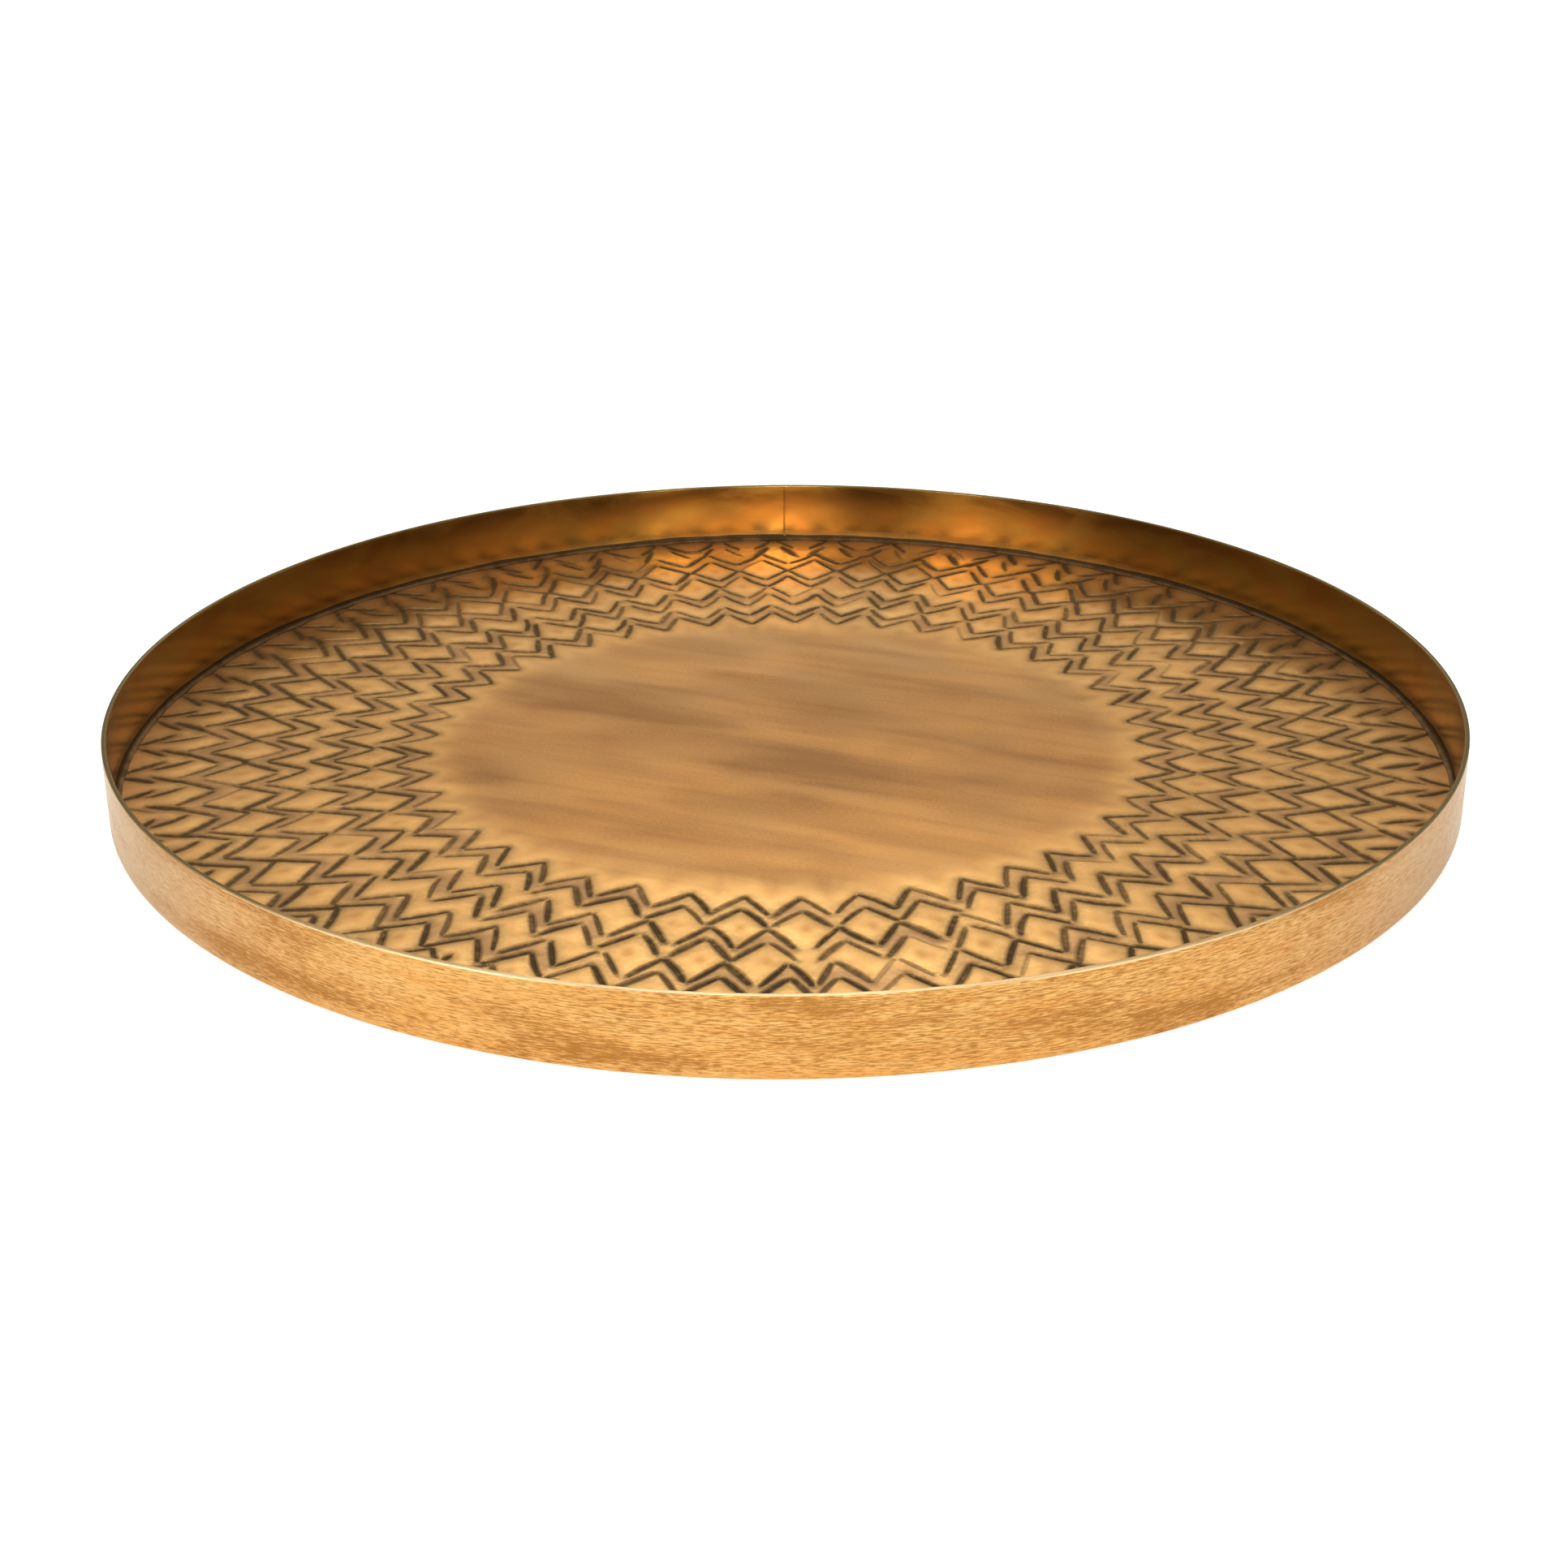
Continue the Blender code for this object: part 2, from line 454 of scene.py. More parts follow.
FILLET_LEG = 1.9 * MM           # how far the solder runs in from the wall, and up it
FILLET_SWELL = 0.30 * MM        # how much its width varies
FILLET_CREEP = 0.25 * MM        # how much its height varies
FILLET_STEPS = 6
SOLDER_FOOT = 0.12 * MM         # gap below the solder in the joint, and depth of its inner edge
SOLDER_LAP = 0.2 * MM           # how deep the solder starts beside the floor's edge


def solder_fillet(material):
    """Solder that fills the joint under the wall and creeps up the inner corner."""
    outer = RIM_INNER - HAIR
    joint = FILLET_HIGH.x + HAIR
    bends = [math.pi / 2 * i / FILLET_STEPS for i in reversed(range(FILLET_STEPS + 1))]

    def outline(angle):
        width = FILLET_LEG + FILLET_SWELL * ripple(angle * 2, 0, 8.0)
        rise = FILLET_LEG + FILLET_CREEP * ripple(angle * 3, 0, 5.0)
        face = [(outer - width * (1 - math.sin(t)), FLOOR_TOP + rise * (1 - math.cos(t)))
                for t in bends]
        return [(joint, SOLDER_FOOT), (outer, SOLDER_FOOT), *face,
                (outer - width, FLOOR_TOP - SOLDER_FOOT), (joint, FLOOR_TOP - SOLDER_LAP)]

    return turned("solder_fillet", outline, RIM_STEPS, material)


SEAM_ROWS = 24
SEAM_SWAY = 0.08 * MM           # how far the seam wanders from side to side
SEAM_FRAY = 0.04 * MM           # and the finer unevenness on top
SEAM_FALL = 0.11 * MM           # how much lower its sides are than its middle, outside
SEAM_CROWN = 0.10 * MM          # how far it stands proud inside


def seam_strip(material):
    """The soldered seam where the band's two ends meet at the back."""
    half = (SEAM_HIGH.x - SEAM_LOW.x) / 2
    outer, inner = TRAY_RADIUS - HAIR / 2, RIM_INNER - SEAM_CROWN
    section = ((-half, outer - SEAM_FALL), (-half * 0.5, outer), (half * 0.5, outer),
               (half, outer - SEAM_FALL), (half, inner + SEAM_CROWN), (half * 0.5, inner),
               (-half * 0.5, inner), (-half, inner + SEAM_CROWN))
    size = len(section)
    verts, faces = [], []
    for i in range(SEAM_ROWS + 1):
        share = i / SEAM_ROWS
        z = SEAM_LOW.z + (SEAM_HIGH.z - SEAM_LOW.z) * share
        sway = SEAM_SWAY * math.sin(9.0 * share + 1.0) + SEAM_FRAY * math.sin(31.0 * share)
        verts += [(x + sway, y, z) for x, y in section]
    for i in range(SEAM_ROWS):
        for k in range(size):
            m = (k + 1) % size
            faces.append((i * size + m, i * size + k, (i + 1) * size + k, (i + 1) * size + m))
    faces.append(tuple(range(size)))
    faces.append(tuple(range(len(verts) - 1, len(verts) - 1 - size, -1)))
    return mesh_object("seam_strip", verts, faces, material)


# ---------------------------------------------------------------- materials
class Graph:
    """Short calls for building a node tree."""

    def __init__(self, tree):
        self.tree = tree

    def node(self, kind, **settings):
        made = self.tree.nodes.new(kind)
        for key, value in settings.items():
            setattr(made, key, value)
        return made

    def plug(self, socket, value):
        if isinstance(value, bpy.types.NodeSocket):
            self.tree.links.new(value, socket)
        else:
            socket.default_value = value

    def math(self, operation, a, b=0.0, clamp=False):
        made = self.node("ShaderNodeMath", operation=operation, use_clamp=clamp)
        self.plug(made.inputs[0], a)
        self.plug(made.inputs[1], b)
        return made.outputs[0]

    def plus(self, a, b, clamp=False):
        return self.math("ADD", a, b, clamp)

    def minus(self, a, b):
        return self.math("SUBTRACT", a, b)

    def times(self, a, b, clamp=False):
        return self.math("MULTIPLY", a, b, clamp)

    def over(self, a, b):
        return self.math("DIVIDE", a, b)

    def size(self, a):
        return self.math("ABSOLUTE", a)

    def hypot(self, x, y):
        return self.math("SQRT", self.plus(self.times(x, x), self.times(y, y)))

    def coordinate(self, kind):
        return self.node("ShaderNodeTexCoord").outputs[kind]

    def split(self, vector):
        made = self.node("ShaderNodeSeparateXYZ")
        self.plug(made.inputs[0], vector)
        return made.outputs

    def join(self, x, y, z=0.0):
        made = self.node("ShaderNodeCombineXYZ")
        for socket, value in zip(made.inputs, (x, y, z)):
            self.plug(socket, value)
        return made.outputs[0]

    def stretched(self, vector, scale):
        made = self.node("ShaderNodeVectorMath", operation="MULTIPLY")
        self.plug(made.inputs[0], vector)
        made.inputs[1].default_value = scale
        return made.outputs[0]

    def rotated(self, vector, degrees):
        made = self.node("ShaderNodeVectorRotate", rotation_type="Z_AXIS")
        self.plug(made.inputs["Vector"], vector)
        made.inputs["Angle"].default_value = math.radians(degrees)
        return made.outputs[0]

    def noise(self, vector, scale, detail, roughness, distortion=0.0):
        made = self.node("ShaderNodeTexNoise")
        self.plug(made.inputs["Vector"], vector)
        made.inputs["Scale"].default_value = scale
        made.inputs["Detail"].default_value = detail
        made.inputs["Roughness"].default_value = roughness
        made.inputs["Distortion"].default_value = distortion
        return made.outputs["Fac"]

    def streaks(self, vector, scale, *settings):
        """Noise with its own scale along each axis."""
        return self.noise(self.stretched(vector, scale), 1.0, *settings)

    def range(self, value, low, high, to_low=0.0, to_high=1.0, smooth=True):
        made = self.node("ShaderNodeMapRange",
                         interpolation_type="SMOOTHSTEP" if smooth else "LINEAR")
        self.plug(made.inputs["Value"], value)
        for key, number in (("From Min", low), ("From Max", high),
                            ("To Min", to_low), ("To Max", to_high)):
            made.inputs[key].default_value = number
        return made.outputs[0]

    def mix(self, share, a, b):
        made = self.node("ShaderNodeMix", data_type="RGBA")
        self.plug(made.inputs[0], share)
        self.plug(made.inputs[6], (*a, 1.0) if isinstance(a, tuple) else a)
        self.plug(made.inputs[7], (*b, 1.0) if isinstance(b, tuple) else b)
        return made.outputs[2]

    def grey_ramp(self, value, stops):
        """Brightness that runs straight from one (place, brightness) stop to the next."""
        made = self.node("ShaderNodeValToRGB")
        elements = made.color_ramp.elements
        while len(elements) < len(stops):
            elements.new(0.5)
        for element, (place, brightness) in zip(elements, stops):
            element.position = place
            element.color = (brightness, brightness, brightness, 1.0)
        self.plug(made.inputs["Fac"], value)
        return made.outputs["Color"]


class MaterialGraph(Graph):
    """A material whose Principled shader is fed by nodes."""

    def __init__(self, name):
        self.material = bpy.data.materials.new(name)
        self.material.use_nodes = True
        super().__init__(self.material.node_tree)
        self.shader = self.tree.nodes["Principled BSDF"]

    def attribute(self, name):
        return self.node("ShaderNodeAttribute", attribute_name=name).outputs["Fac"]

    def oval_patch(self, turn, z, stain, uneven):
        """An uneven oval patch on the band: a stain, and a painted highlight where its strength is
        below 0.
        """
        aside = self.over(self.minus(turn, math.radians(stain.turn)),
                          math.radians(stain.half_turn))
        above = self.over(self.minus(z, stain.height), stain.half_height)
        spread = self.plus(self.times(aside, aside), self.times(above, above))
        return self.times(self.range(spread, 0.0, 1.0, stain.strength, 0.0),
                          self.range(uneven, 0.35, 0.60, 0.25, 1.0))

    def bump(self, height, distance, strength, normal=None):
        made = self.node("ShaderNodeBump")
        made.inputs["Strength"].default_value = strength
        made.inputs["Distance"].default_value = distance
        self.plug(made.inputs["Height"], height)
        if normal is not None:
            self.plug(made.inputs["Normal"], normal)
        return made.outputs[0]

    def finish(self, color, roughness, metallic, normal=None):
        self.plug(self.shader.inputs["Base Color"], color)
        self.plug(self.shader.inputs["Roughness"], roughness)
        self.plug(self.shader.inputs["Metallic"], metallic)
        if normal is not None:
            self.plug(self.shader.inputs["Normal"], normal)
        return self.material


# Colours of the punched floor
BRIGHT_BRASS = (0.95, 0.540, 0.180)
# The next grey is a painted sheen for the back of the floor.
DISC_GOLD = (0.685, 0.338, 0.104)
DISC_SHEEN_GREY = (0.510, 0.292, 0.118)
DISC_BROWN = (0.34, 0.160, 0.056)
VALLEY_BROWN = (0.52, 0.265, 0.115)
HALO_OLIVE = (0.21, 0.118, 0.042)
GROOVE_DARK = (0.074, 0.045, 0.021)
COPPER_SPOT = (0.52, 0.24, 0.060)
# Of the band: outside, inside and upper edge
WALL_GOLD = (0.69, 0.345, 0.092)
WALL_YELLOW = (0.73, 0.430, 0.145)
WALL_BROWN = (0.39, 0.172, 0.038)
WALL_FLECK = (0.95, 0.62, 0.25)
# The next two are a painted sheen on the band's sides and a painted reflection on its flanks.
WALL_SIDE_SHEEN = (0.48, 0.326, 0.178)
WALL_PALE_REFLECTION = (0.57, 0.530, 0.445)
INSIDE_OLIVE = (0.53, 0.350, 0.092)
INSIDE_AMBER = (0.57, 0.300, 0.074)
# The next are painted shade inside the band, and painted shade and highlights on its upper edge.
PAINTED_SHADE_DARK = (0.055, 0.034, 0.012)
EDGE_SHADE = (0.15, 0.098, 0.018)
EDGE_GOLD = (0.56, 0.335, 0.125)
EDGE_HIGHLIGHT = (0.84, 0.580, 0.290)
EDGE_GLINT = (1.00, 0.740, 0.410)
# Of the solder
SOLDER_PALE = (0.225, 0.130, 0.056)
SOLDER_DARK = (0.048, 0.027, 0.011)

WARM_GRAZING = (1.0, 0.88, 0.70, 1.0)   # what brass reflects at a glancing angle
PALE_GRAZING = (1.0, 0.95, 0.86, 1.0)   # the same on the paler band
SEAM_TARNISH = 0.25
BRUSH_TURN = 22.0               # degrees that the floor's brushing is turned in the plan
BRIGHT_TURN = 0.47              # radians left of the front where the band faces the light and is painted brightest

# Brown stains on the outside of the band, and painted highlights with a strength below 0: degrees
# from the front and heights above the table.
Stain = namedtuple("Stain", "turn half_turn height half_height strength")
STAINS_AND_HIGHLIGHTS = (
    Stain(26, 21, 5.5 * MM, 2.4 * MM, 0.30),
    Stain(-42, 20, 6.0 * MM, 3.2 * MM, 0.34),
    Stain(-47, 13, 15.0 * MM, 14.0 * MM, 0.48),
    Stain(-11, 10, 5.0 * MM, 4.0 * MM, 0.22),
    Stain(0, 22, 20.0 * MM, 3.5 * MM, 0.30),
    Stain(1, 22, 9.0 * MM, 12.0 * MM, 0.20),
    Stain(-27, 8, 11.0 * MM, 14.0 * MM, -0.30),
    Stain(34, 12, 16.0 * MM, 12.0 * MM, -0.25),
)


def punched_brass():
    """Satin brass, brushed one way, with dark patina rubbed into the punch marks."""
    g = MaterialGraph("punched_brass")
    place = g.coordinate("Object")
    x, y, _ = g.split(place)
    brushed = g.rotated(place, BRUSH_TURN)
    clouds = g.streaks(brushed, (13.0, 46.0, 13.0), 1.6, 0.5, 0.5)
    wisps = g.streaks(brushed, (12.0, 150.0, 12.0), 2.0, 0.5, 0.4)
    hue = g.streaks(brushed, (20.0, 36.0, 20.0), 1.5, 0.5, 0.3)
    lines = g.streaks(brushed, (30.0, 1300.0, 30.0), 3.0, 0.6)
    blotch = g.noise(place, 22.0, 3.0, 0.55)
    worn = g.noise(place, 150.0, 2.0, 0.6)
    dents = g.noise(place, 260.0, 3.0, 0.6)
    speck = g.noise(place, 420.0, 2.0, 0.6)
    grain = g.noise(place, 900.0, 2.0, 0.6)

    # How brown the bare metal is: most across the middle of the tray.
    tone = g.plus(g.range(clouds, 0.34, 0.66, 0.0, 0.46), g.range(blotch, 0.4, 0.7, 0.0, 0.18))
    tone = g.plus(tone, g.range(wisps, 0.46, 0.66, 0.0, 0.14))
    tone = g.plus(tone, g.range(grain, 0.3, 0.7, -0.08, 0.08))
    tone = g.plus(tone, g.range(g.size(y), 0.02, 0.085, 0.32, 0.0), clamp=True)
    # The back of the floor is painted greyer, as a sheen, with some uneven hue.
    back_sheen_and_hue = g.plus(g.times(g.range(y, -0.10, 0.09), 0.75),
                    g.range(hue, 0.36, 0.62, -0.25, 0.25), clamp=True)
    color = g.mix(back_sheen_and_hue, DISC_GOLD, DISC_SHEEN_GREY)
    color = g.mix(tone, color, DISC_BROWN)

    # The metal between the marks is rubbed bright. It is also painted as a highlight, strongest at
    # the front and weaker away from it.
    away_from_front = g.range(g.plus(y, g.times(g.size(x), 0.35)), -0.135, -0.03)
    crown = g.times(g.attribute("polish"), g.range(grain, 0.3, 0.7, 0.80, 1.0))
    crown = g.times(crown, g.range(worn, 0.35, 0.65, 0.80, 1.0))
    crown = g.times(crown, g.minus(1.0, g.times(away_from_front, 0.32)))
    color = g.mix(crown, color, BRIGHT_BRASS)
    # Browner and rougher near the wall: patina in the corner, and painted shade there.
    margin_patina_and_shade = g.range(g.hypot(x, y), 0.89 * DISC_RADIUS, 0.99 * DISC_RADIUS)
    color = g.mix(g.times(margin_patina_and_shade, g.range(blotch, 0.3, 0.7, 0.30, 0.70)), color, VALLEY_BROWN)

    # Stains beside the marks, the olive halo also painted shade on their slopes, then the dark
    # patina in them.
    color = g.mix(g.times(g.attribute("spot"), 0.85), color, COPPER_SPOT)
    valley = g.times(g.attribute("valley"), g.range(blotch, 0.3, 0.7, 0.80, 1.1), clamp=True)
    color = g.mix(valley, color, VALLEY_BROWN)
    halo = g.times(g.attribute("halo"), g.range(speck, 0.25, 0.65, 0.65, 1.05), clamp=True)
    color = g.mix(halo, color, HALO_OLIVE)
    core = g.times(g.attribute("core"), g.range(speck, 0.25, 0.6, 0.82, 1.1), clamp=True)
    core = g.times(core, g.minus(1.0, g.times(away_from_front, 0.15)))
    color = g.mix(core, color, GROOVE_DARK)

    roughness = g.plus(g.range(tone, 0.0, 1.0, 0.38, 0.46), g.times(core, 0.30))
    roughness = g.minus(roughness, g.times(crown, 0.16))
    roughness = g.plus(roughness, g.times(margin_patina_and_shade, 0.10))
    roughness = g.plus(roughness, g.times(away_from_front, 0.05))
    normal = g.bump(lines, 0.03 * MM, 0.5)
    normal = g.bump(dents, 0.08 * MM, 0.5, normal)
    g.shader.inputs["Specular Tint"].default_value = WARM_GRAZING
    return g.finish(color, roughness, 1.0, normal)


def outside_color(g, flat, turn, z, outside):
    """The band's brushed outside: its colour, how brown it is, and its coarse and fine strokes."""
    patches = g.streaks(flat, (16.0, 70.0, 1.0), 4.0, 0.6, 0.3)
    grime = g.streaks(flat, (9.0, 150.0, 1.0), 3.0, 0.6, 0.4)
    hue = g.streaks(flat, (42.0, 260.0, 1.0), 4.0, 0.70)
    strokes = g.streaks(flat, (130.0, 1600.0, 1.0), 3.0, 0.62)
    hairs = g.streaks(flat, (330.0, 3000.0, 1.0), 2.0, 0.6)
    flecks = g.streaks(flat, (250.0, 2100.0, 1.0), 2.0, 0.65)

    # Painted greyer as a sheen and smoother at the two sides, painted palest on the flanks as a
    # reflection, and golden again at the back.
    off_front = g.size(turn)
    ahead = g.range(off_front, math.radians(88), math.radians(112), 1.0, 0.0)
    side = g.times(g.range(g.math("COSINE", turn), 0.50, 0.92, 1.0, 0.0), ahead)
    flank = g.times(g.range(off_front, math.radians(58), math.radians(85)), ahead)
    calm = g.times(outside, g.minus(1.0, g.times(side, 0.55)))

    # Painted shade: browner round from where the band faces the light, with real grime and stains
    # added, and painted highlights where a patch's strength is below 0.
    stains_and_shading = g.range(g.math("COSINE", g.plus(turn, BRIGHT_TURN)), 0.60, 1.0, 0.32, 0.02,
                   smooth=False)
    stains_and_shading = g.plus(stains_and_shading, g.range(grime, 0.54, 0.70, 0.0, 0.40))
    for stain in STAINS_AND_HIGHLIGHTS:
        stains_and_shading = g.plus(stains_and_shading, g.oval_patch(turn, z, stain, patches))
    tone = g.plus(g.range(patches, 0.44, 0.68, -0.05, 0.55), stains_and_shading)
    tone = g.plus(tone, g.range(z, 0.6 * MM, 3.0 * MM, -0.30, 0.0))
    tone = g.plus(tone, g.range(strokes, 0.38, 0.66, -0.20, 0.34))
    tone = g.plus(tone, g.range(hairs, 0.38, 0.66, -0.20, 0.75))
    tone = g.times(tone, calm, clamp=True)

    color = g.mix(g.range(hue, 0.34, 0.64), WALL_GOLD, WALL_YELLOW)
    color = g.mix(g.times(side, 0.95), color, WALL_SIDE_SHEEN)
    color = g.mix(flank, color, WALL_PALE_REFLECTION)
    color = g.mix(tone, color, WALL_BROWN)
    color = g.mix(g.times(g.range(flecks, 0.56, 0.72, 0.0, 0.45), calm), color, WALL_FLECK)
    return color, tone, strokes, hairs


def inside_color(g, color, place, facing, z, inside):
    """The same with the smoother inside over it, painted shade at its lip and foot, and its
    mottling.
    """
    mottle = g.streaks(place, (40.0, 40.0, 90.0), 3.0, 0.6, 0.5)
    cloud = g.streaks(place, (26.0, 26.0, 60.0), 3.0, 0.6, 0.8)
    metal = g.mix(g.range(cloud, 0.36, 0.60), INSIDE_OLIVE, INSIDE_AMBER)
    color = g.mix(g.times(inside, g.range(mottle, 0.3, 0.7, 0.80, 1.0)), color, metal)
    # Painted shade: dark low in the inner corner, less at the back, and dark towards the lip, more
    # at the back.
    rear = g.range(facing, -0.95, -0.40, 0.80, 0.40)
    foot = g.times(g.range(z, FLOOR_TOP + 0.5 * MM, FLOOR_TOP + 2.5 * MM, 0.20, 0.70),
                   g.range(z, FLOOR_TOP + 3.2 * MM, FLOOR_TOP + 7.0 * MM, 1.0, 0.0))
    foot = g.times(foot, g.minus(1.05, rear))
    lip = g.times(g.range(z, TRAY_HEIGHT - 14.0 * MM, TRAY_HEIGHT - 1.0 * MM),
                  g.times(rear, g.range(cloud, 0.38, 0.62, 0.75, 1.12)))
    shade = g.times(inside, g.math("MAXIMUM", foot, lip))
    return g.mix(shade, color, PAINTED_SHADE_DARK), mottle


def edge_color(g, color, facing, radius, z):
    """The same with the sheet's upper edge over it.

    The whole edge is painted with a bright highlight at the front and golden beside it. Further
    round only its outer arris is, and from the two sides to the back the edge is painted dark as
    shade.
    """
    edge = g.range(z, TRAY_HEIGHT - 0.25 * MM, TRAY_HEIGHT - 0.08 * MM)
    front = g.range(facing, 0.90, 0.97)
    arris = g.times(g.range(radius, RIM_INNER + 1.00 * MM, RIM_INNER + 1.30 * MM),
                    g.range(facing, 0.25, 0.70))
    flat_edge = g.mix(g.range(facing, 0.72, 0.88), EDGE_SHADE, EDGE_GOLD)
    wear_and_highlight = g.mix(g.range(facing, 0.970, 0.998, 0.0, 0.7), EDGE_HIGHLIGHT, EDGE_GLINT)
    color = g.mix(edge, color, g.mix(g.math("MAXIMUM", arris, front), flat_edge, wear_and_highlight))
    # A painted highlight: a bright line just below the outer arris, strongest on both sides of the
    # front.
    crest = g.times(g.range(z, TRAY_HEIGHT - 0.75 * MM, TRAY_HEIGHT - 0.40 * MM),
                    g.range(radius, RIM_INNER + 1.10 * MM, RIM_INNER + 1.30 * MM))
    crest = g.times(crest, g.times(g.range(facing, 0.58, 0.95),
                                   g.range(facing, 0.93, 0.985, 0.9, 0.0)))
    return g.mix(crest, color, EDGE_GLINT)


def brushed_brass(name="brushed_brass", tarnish=0.0):
    """The rim band's brass: brushed along its length, browner and glossier inside."""
    g = MaterialGraph(name)
    place = g.coordinate("Object")
    x, y, z = g.split(place)
    radius = g.hypot(x, y)
    turn = g.math("ARCTAN2", x, g.times(y, -1.0))
    facing = g.math("COSINE", turn)
    flat = g.join(g.times(turn, TRAY_RADIUS), z)
    inside = g.range(radius, RIM_INNER + 0.4 * RIM_SHEET, RIM_INNER + 0.6 * RIM_SHEET, 1.0, 0.0)
    outside = g.minus(1.0, g.times(inside, 0.85))

    color, tone, strokes, hairs = outside_color(g, flat, turn, z, outside)
    color, mottle = inside_color(g, color, place, facing, z, inside)
    color = edge_color(g, color, facing, radius, z)
    color = g.mix(tarnish, color, WALL_BROWN)

    roughness = g.plus(g.range(tone, 0.0, 1.0, 0.36, 0.46), g.times(inside, -0.13))
    low = g.range(z, FLOOR_TOP + 1.0 * MM, FLOOR_TOP + 4.5 * MM, 0.22, 0.0)
    roughness = g.plus(roughness, g.times(inside, low))
    normal = g.bump(g.times(strokes, outside), 0.04 * MM, 0.4)
    normal = g.bump(g.times(hairs, outside), 0.015 * MM, 0.4, normal)
    normal = g.bump(g.times(mottle, inside), 0.2 * MM, 0.5, normal)
    g.shader.inputs["Specular Tint"].default_value = PALE_GRAZING
    return g.finish(color, roughness, 1.0, normal)


def solder():
    """Dull, slightly lumpy brass solder, filed on the floor, tarnished up the wall and painted
    there with the corner's shade.
    """
    g = MaterialGraph("dull_solder")
    place = g.coordinate("Object")
    z = g.split(place)[2]
    lumps = g.noise(place, 160.0, 3.0, 0.6)
    grain = g.noise(place, 900.0, 2.0, 0.6)
    color = g.mix(g.range(lumps, 0.35, 0.7, 0.0, 0.7), SOLDER_PALE, SOLDER_DARK)
    # Up the wall the solder is tarnished and painted dark as the corner's shade.
    color = g.mix(g.range(z, FLOOR_TOP + 0.05 * MM, FLOOR_TOP + 0.90 * MM, 0.0, 0.85),
                  color, SOLDER_DARK)
    roughness = g.range(grain, 0.3, 0.7, 0.50, 0.62)
    normal = g.bump(lumps, 0.2 * MM, 0.5)
    g.shader.inputs["Specular Tint"].default_value = WARM_GRAZING
    return g.finish(color, roughness, 1.0, normal)


BACKDROP_GLOW = 0.45


def plain_floor():
    """Matt white backdrop paper."""
    g = MaterialGraph("backdrop_paper")
    fibre = g.noise(g.coordinate("Object"), 300.0, 2.0, 0.5)
    color = g.mix(fibre, (0.90, 0.90, 0.90), (0.93, 0.93, 0.93))
    g.shader.inputs["Emission Color"].default_value = (1.0, 1.0, 1.0, 1.0)
    g.shader.inputs["Emission Strength"].default_value = BACKDROP_GLOW
    return g.finish(color, 0.9, 0.0)


# ---------------------------------------------------------------- camera, light and floor
CAMERA_DISTANCE = 3.7825 * TRAY_RADIUS
CAMERA_ELEVATION = math.radians(22.76)
CAMERA_PITCH = math.radians(23.66)
CAMERA_YAW = math.radians(0.038)
CAMERA_ROLL = math.radians(-0.26)
CAMERA_LENS = 57.0              # lens and sensor width in millimetres
CAMERA_SENSOR = 36.0


def add_camera():
    """The photo's viewpoint, found by fitting a camera to the rim's two edges."""
    data = bpy.data.cameras.new("camera")
    data.lens = CAMERA_LENS
    data.sensor_width = CAMERA_SENSOR
    data.clip_start, data.clip_end = 0.01, 100.0
    camera = bpy.data.objects.new("camera", data)
    turn = (Matrix.Rotation(CAMERA_YAW, 4, "Z")
            @ Matrix.Rotation(math.pi / 2 - CAMERA_PITCH, 4, "X")
            @ Matrix.Rotation(CAMERA_ROLL, 4, "Z"))
    place = Matrix.Translation((0.0, -CAMERA_DISTANCE * math.cos(CAMERA_ELEVATION),
                                CAMERA_DISTANCE * math.sin(CAMERA_ELEVATION)))
    camera.matrix_world = place @ turn
    bpy.context.scene.collection.objects.link(camera)
    bpy.context.scene.camera = camera


BACKDROP_HALF = 14.0
BACKDROP_DROP = 0.2 * MM        # how far the backdrop lies below the tray's underside


def add_floor():
    half, z = BACKDROP_HALF, -BACKDROP_DROP
    verts = [(-half, -half, z), (half, -half, z), (half, half, z), (-half, half, z)]
    floor = mesh_object("backdrop", verts, [(0, 1, 2, 3)], plain_floor())


# Brightness of the studio by the sine of the height above the horizon: behind the tray, where a
# big screen stands over a dark gap, and all round. Both start with a white horizon.
BEHIND = ((0.0, 1.50), (0.045, 1.50), (0.08, 0.85), (0.295, 0.70), (0.345, 0.48),
          (0.390, 0.18), (0.450, 2.28), (0.57, 2.28), (0.68, 1.10), (1.0, 1.10))
AROUND = ((0.0, 1.50), (0.05, 1.50), (0.12, 0.35), (0.40, 0.36), (0.75, 0.60), (0.95, 1.05))
# AROUND turns into BEHIND between these parts of a direction along +Y.
SCREEN_SIDES = (0.60, 0.88)
# How far sideways a direction points, from and to, and what the brightness is multiplied by there.
SIDE_FALLOFF = (0.02, 0.20, 1.0, 0.72)
SIDE_SHIFT = 0.01               # the middle of that lies this far left of straight behind


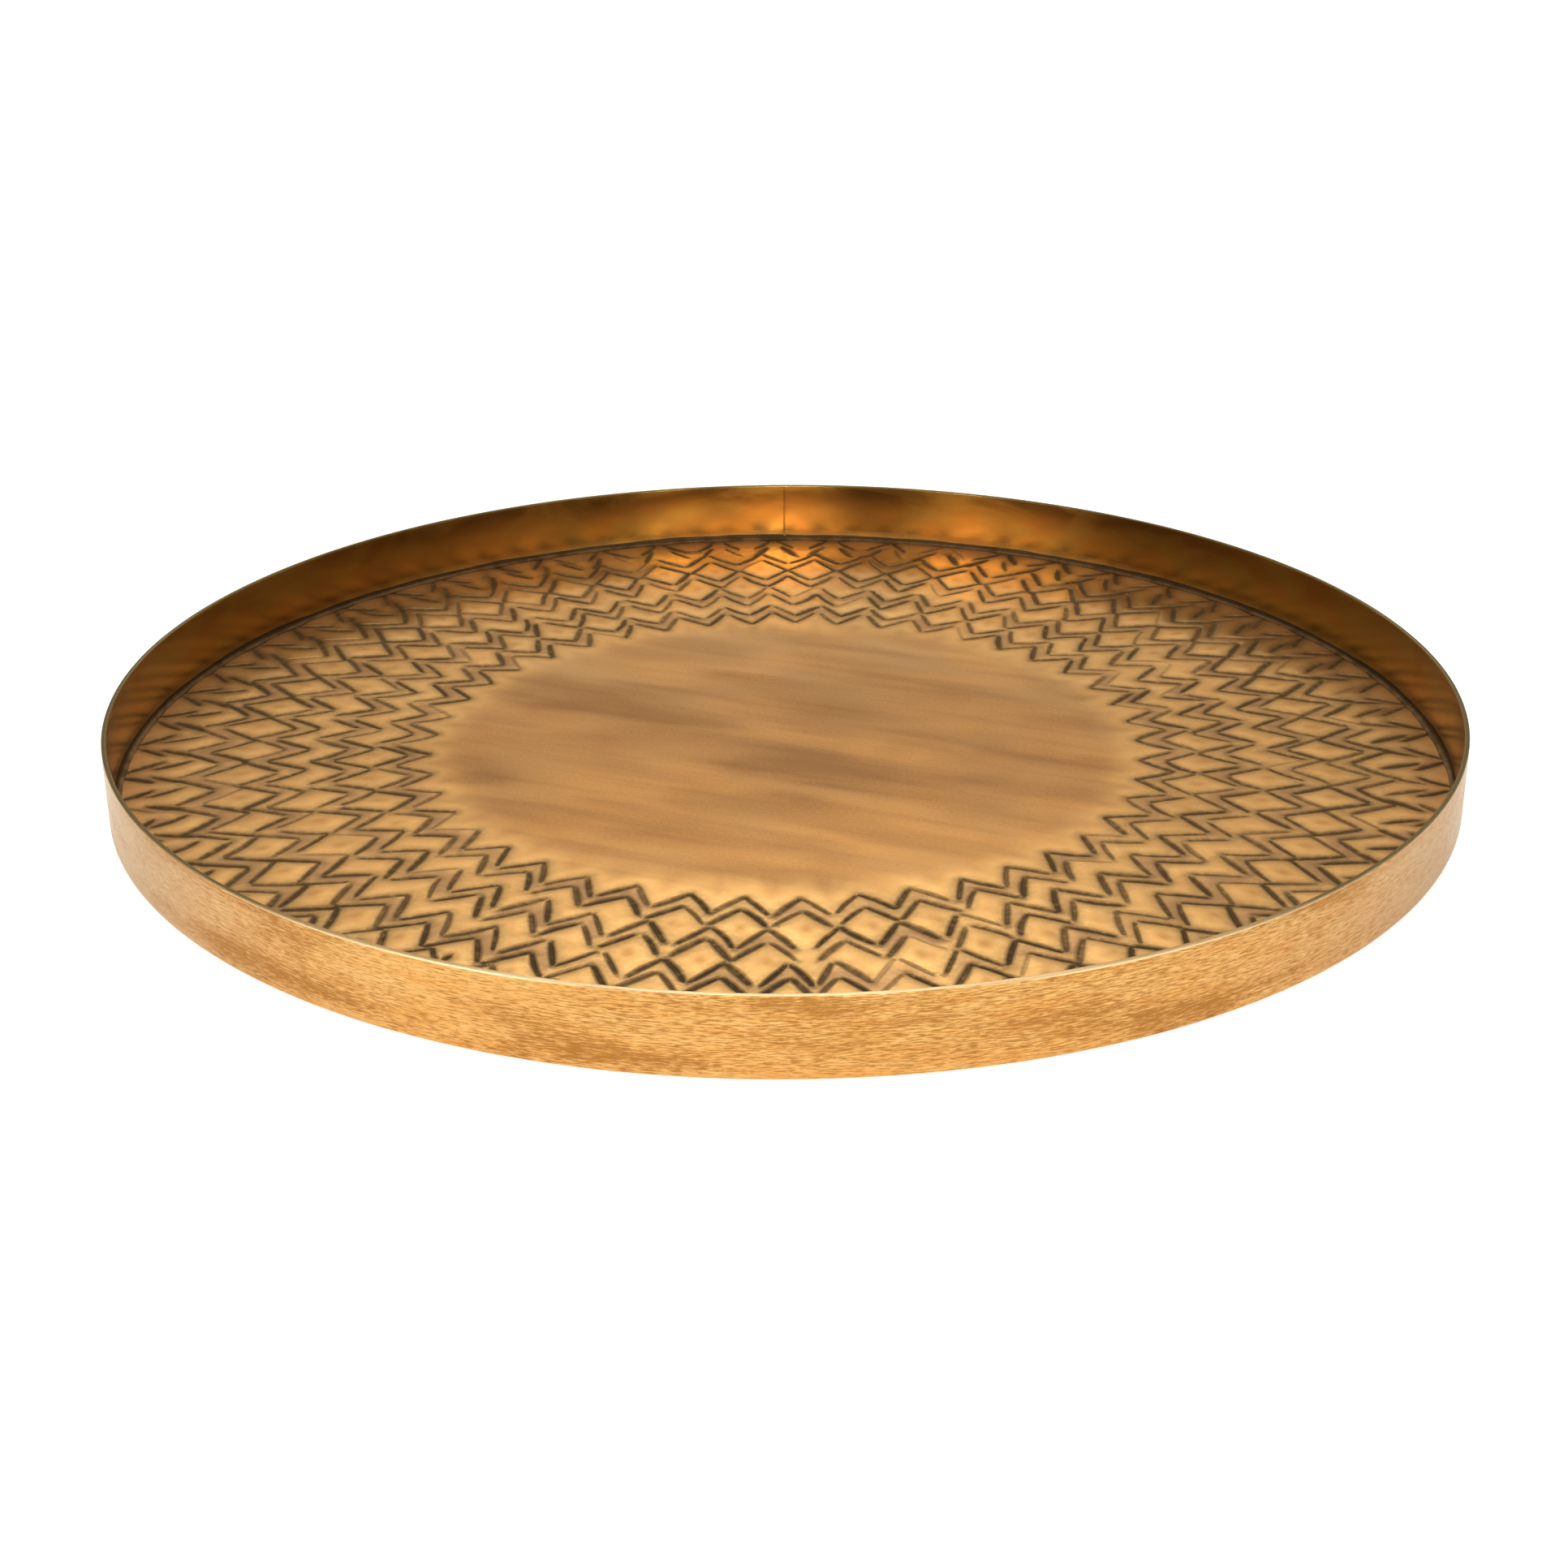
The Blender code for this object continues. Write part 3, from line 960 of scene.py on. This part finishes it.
def add_world():
    """A dim studio with a big bright screen behind the tray and light from above."""
    world = bpy.data.worlds.new("studio")
    world.use_nodes = True
    bpy.context.scene.world = world
    g = Graph(world.node_tree)
    x, y, z = g.split(g.coordinate("Generated"))
    color = g.mix(g.range(y, *SCREEN_SIDES), g.grey_ramp(z, AROUND), g.grey_ramp(z, BEHIND))
    strength = g.range(g.size(g.plus(x, SIDE_SHIFT)), *SIDE_FALLOFF)
    background = world.node_tree.nodes["Background"]
    g.plug(background.inputs["Color"], color)
    g.plug(background.inputs["Strength"], strength)


def add_softbox(name, place, size, power):
    """A rectangular area light that aims at the tray's centre."""
    data = bpy.data.lights.new(name, "AREA")
    data.shape = "RECTANGLE"
    data.size, data.size_y = size
    data.energy = power
    light = bpy.data.objects.new(name, data)
    light.location = place
    light.rotation_euler = (-Vector(place)).to_track_quat("-Z", "Y").to_euler()
    bpy.context.scene.collection.objects.link(light)


# Name, place, width and height in metres, power in watts.
SOFTBOXES = (
    ("top_softbox", (0.0, 0.3, 2.2), (1.6, 1.2), 12.0),
    ("front_window", (0.0, -2.0, 0.70), (0.16, 0.36), 11.2),
    ("left_window_near", (-1.16, -1.55, 0.70), (0.18, 0.36), 6.8),
    ("left_window_far", (-1.50, -1.22, 0.70), (0.18, 0.36), 3.7),
    ("right_window", (0.72, -1.85, 0.70), (0.18, 0.36), 6.3),
    ("right_screen", (1.60, -1.30, 0.75), (0.90, 0.45), 2.4),
)


# ---------------------------------------------------------------- build
def main():
    add_camera()
    add_floor()
    add_world()
    for name, place, size, power in SOFTBOXES:
        add_softbox(name, place, size, power)

    pieces = (
        (punched_floor(punched_brass()), "floor_disc", "floor_brass"),
        (rim_wall(brushed_brass()), "rim_band", "rim_brass"),
        (solder_fillet(solder()), "corner_solder", "solder_brass"),
        (seam_strip(brushed_brass("seam_brass", SEAM_TARNISH)), "seam_solder", "solder_brass"),
    )
    for piece, node, slot in pieces:
        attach(piece, "root")
        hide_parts(node)
    bpy.context.scene.view_settings.view_transform = "Standard"


main()
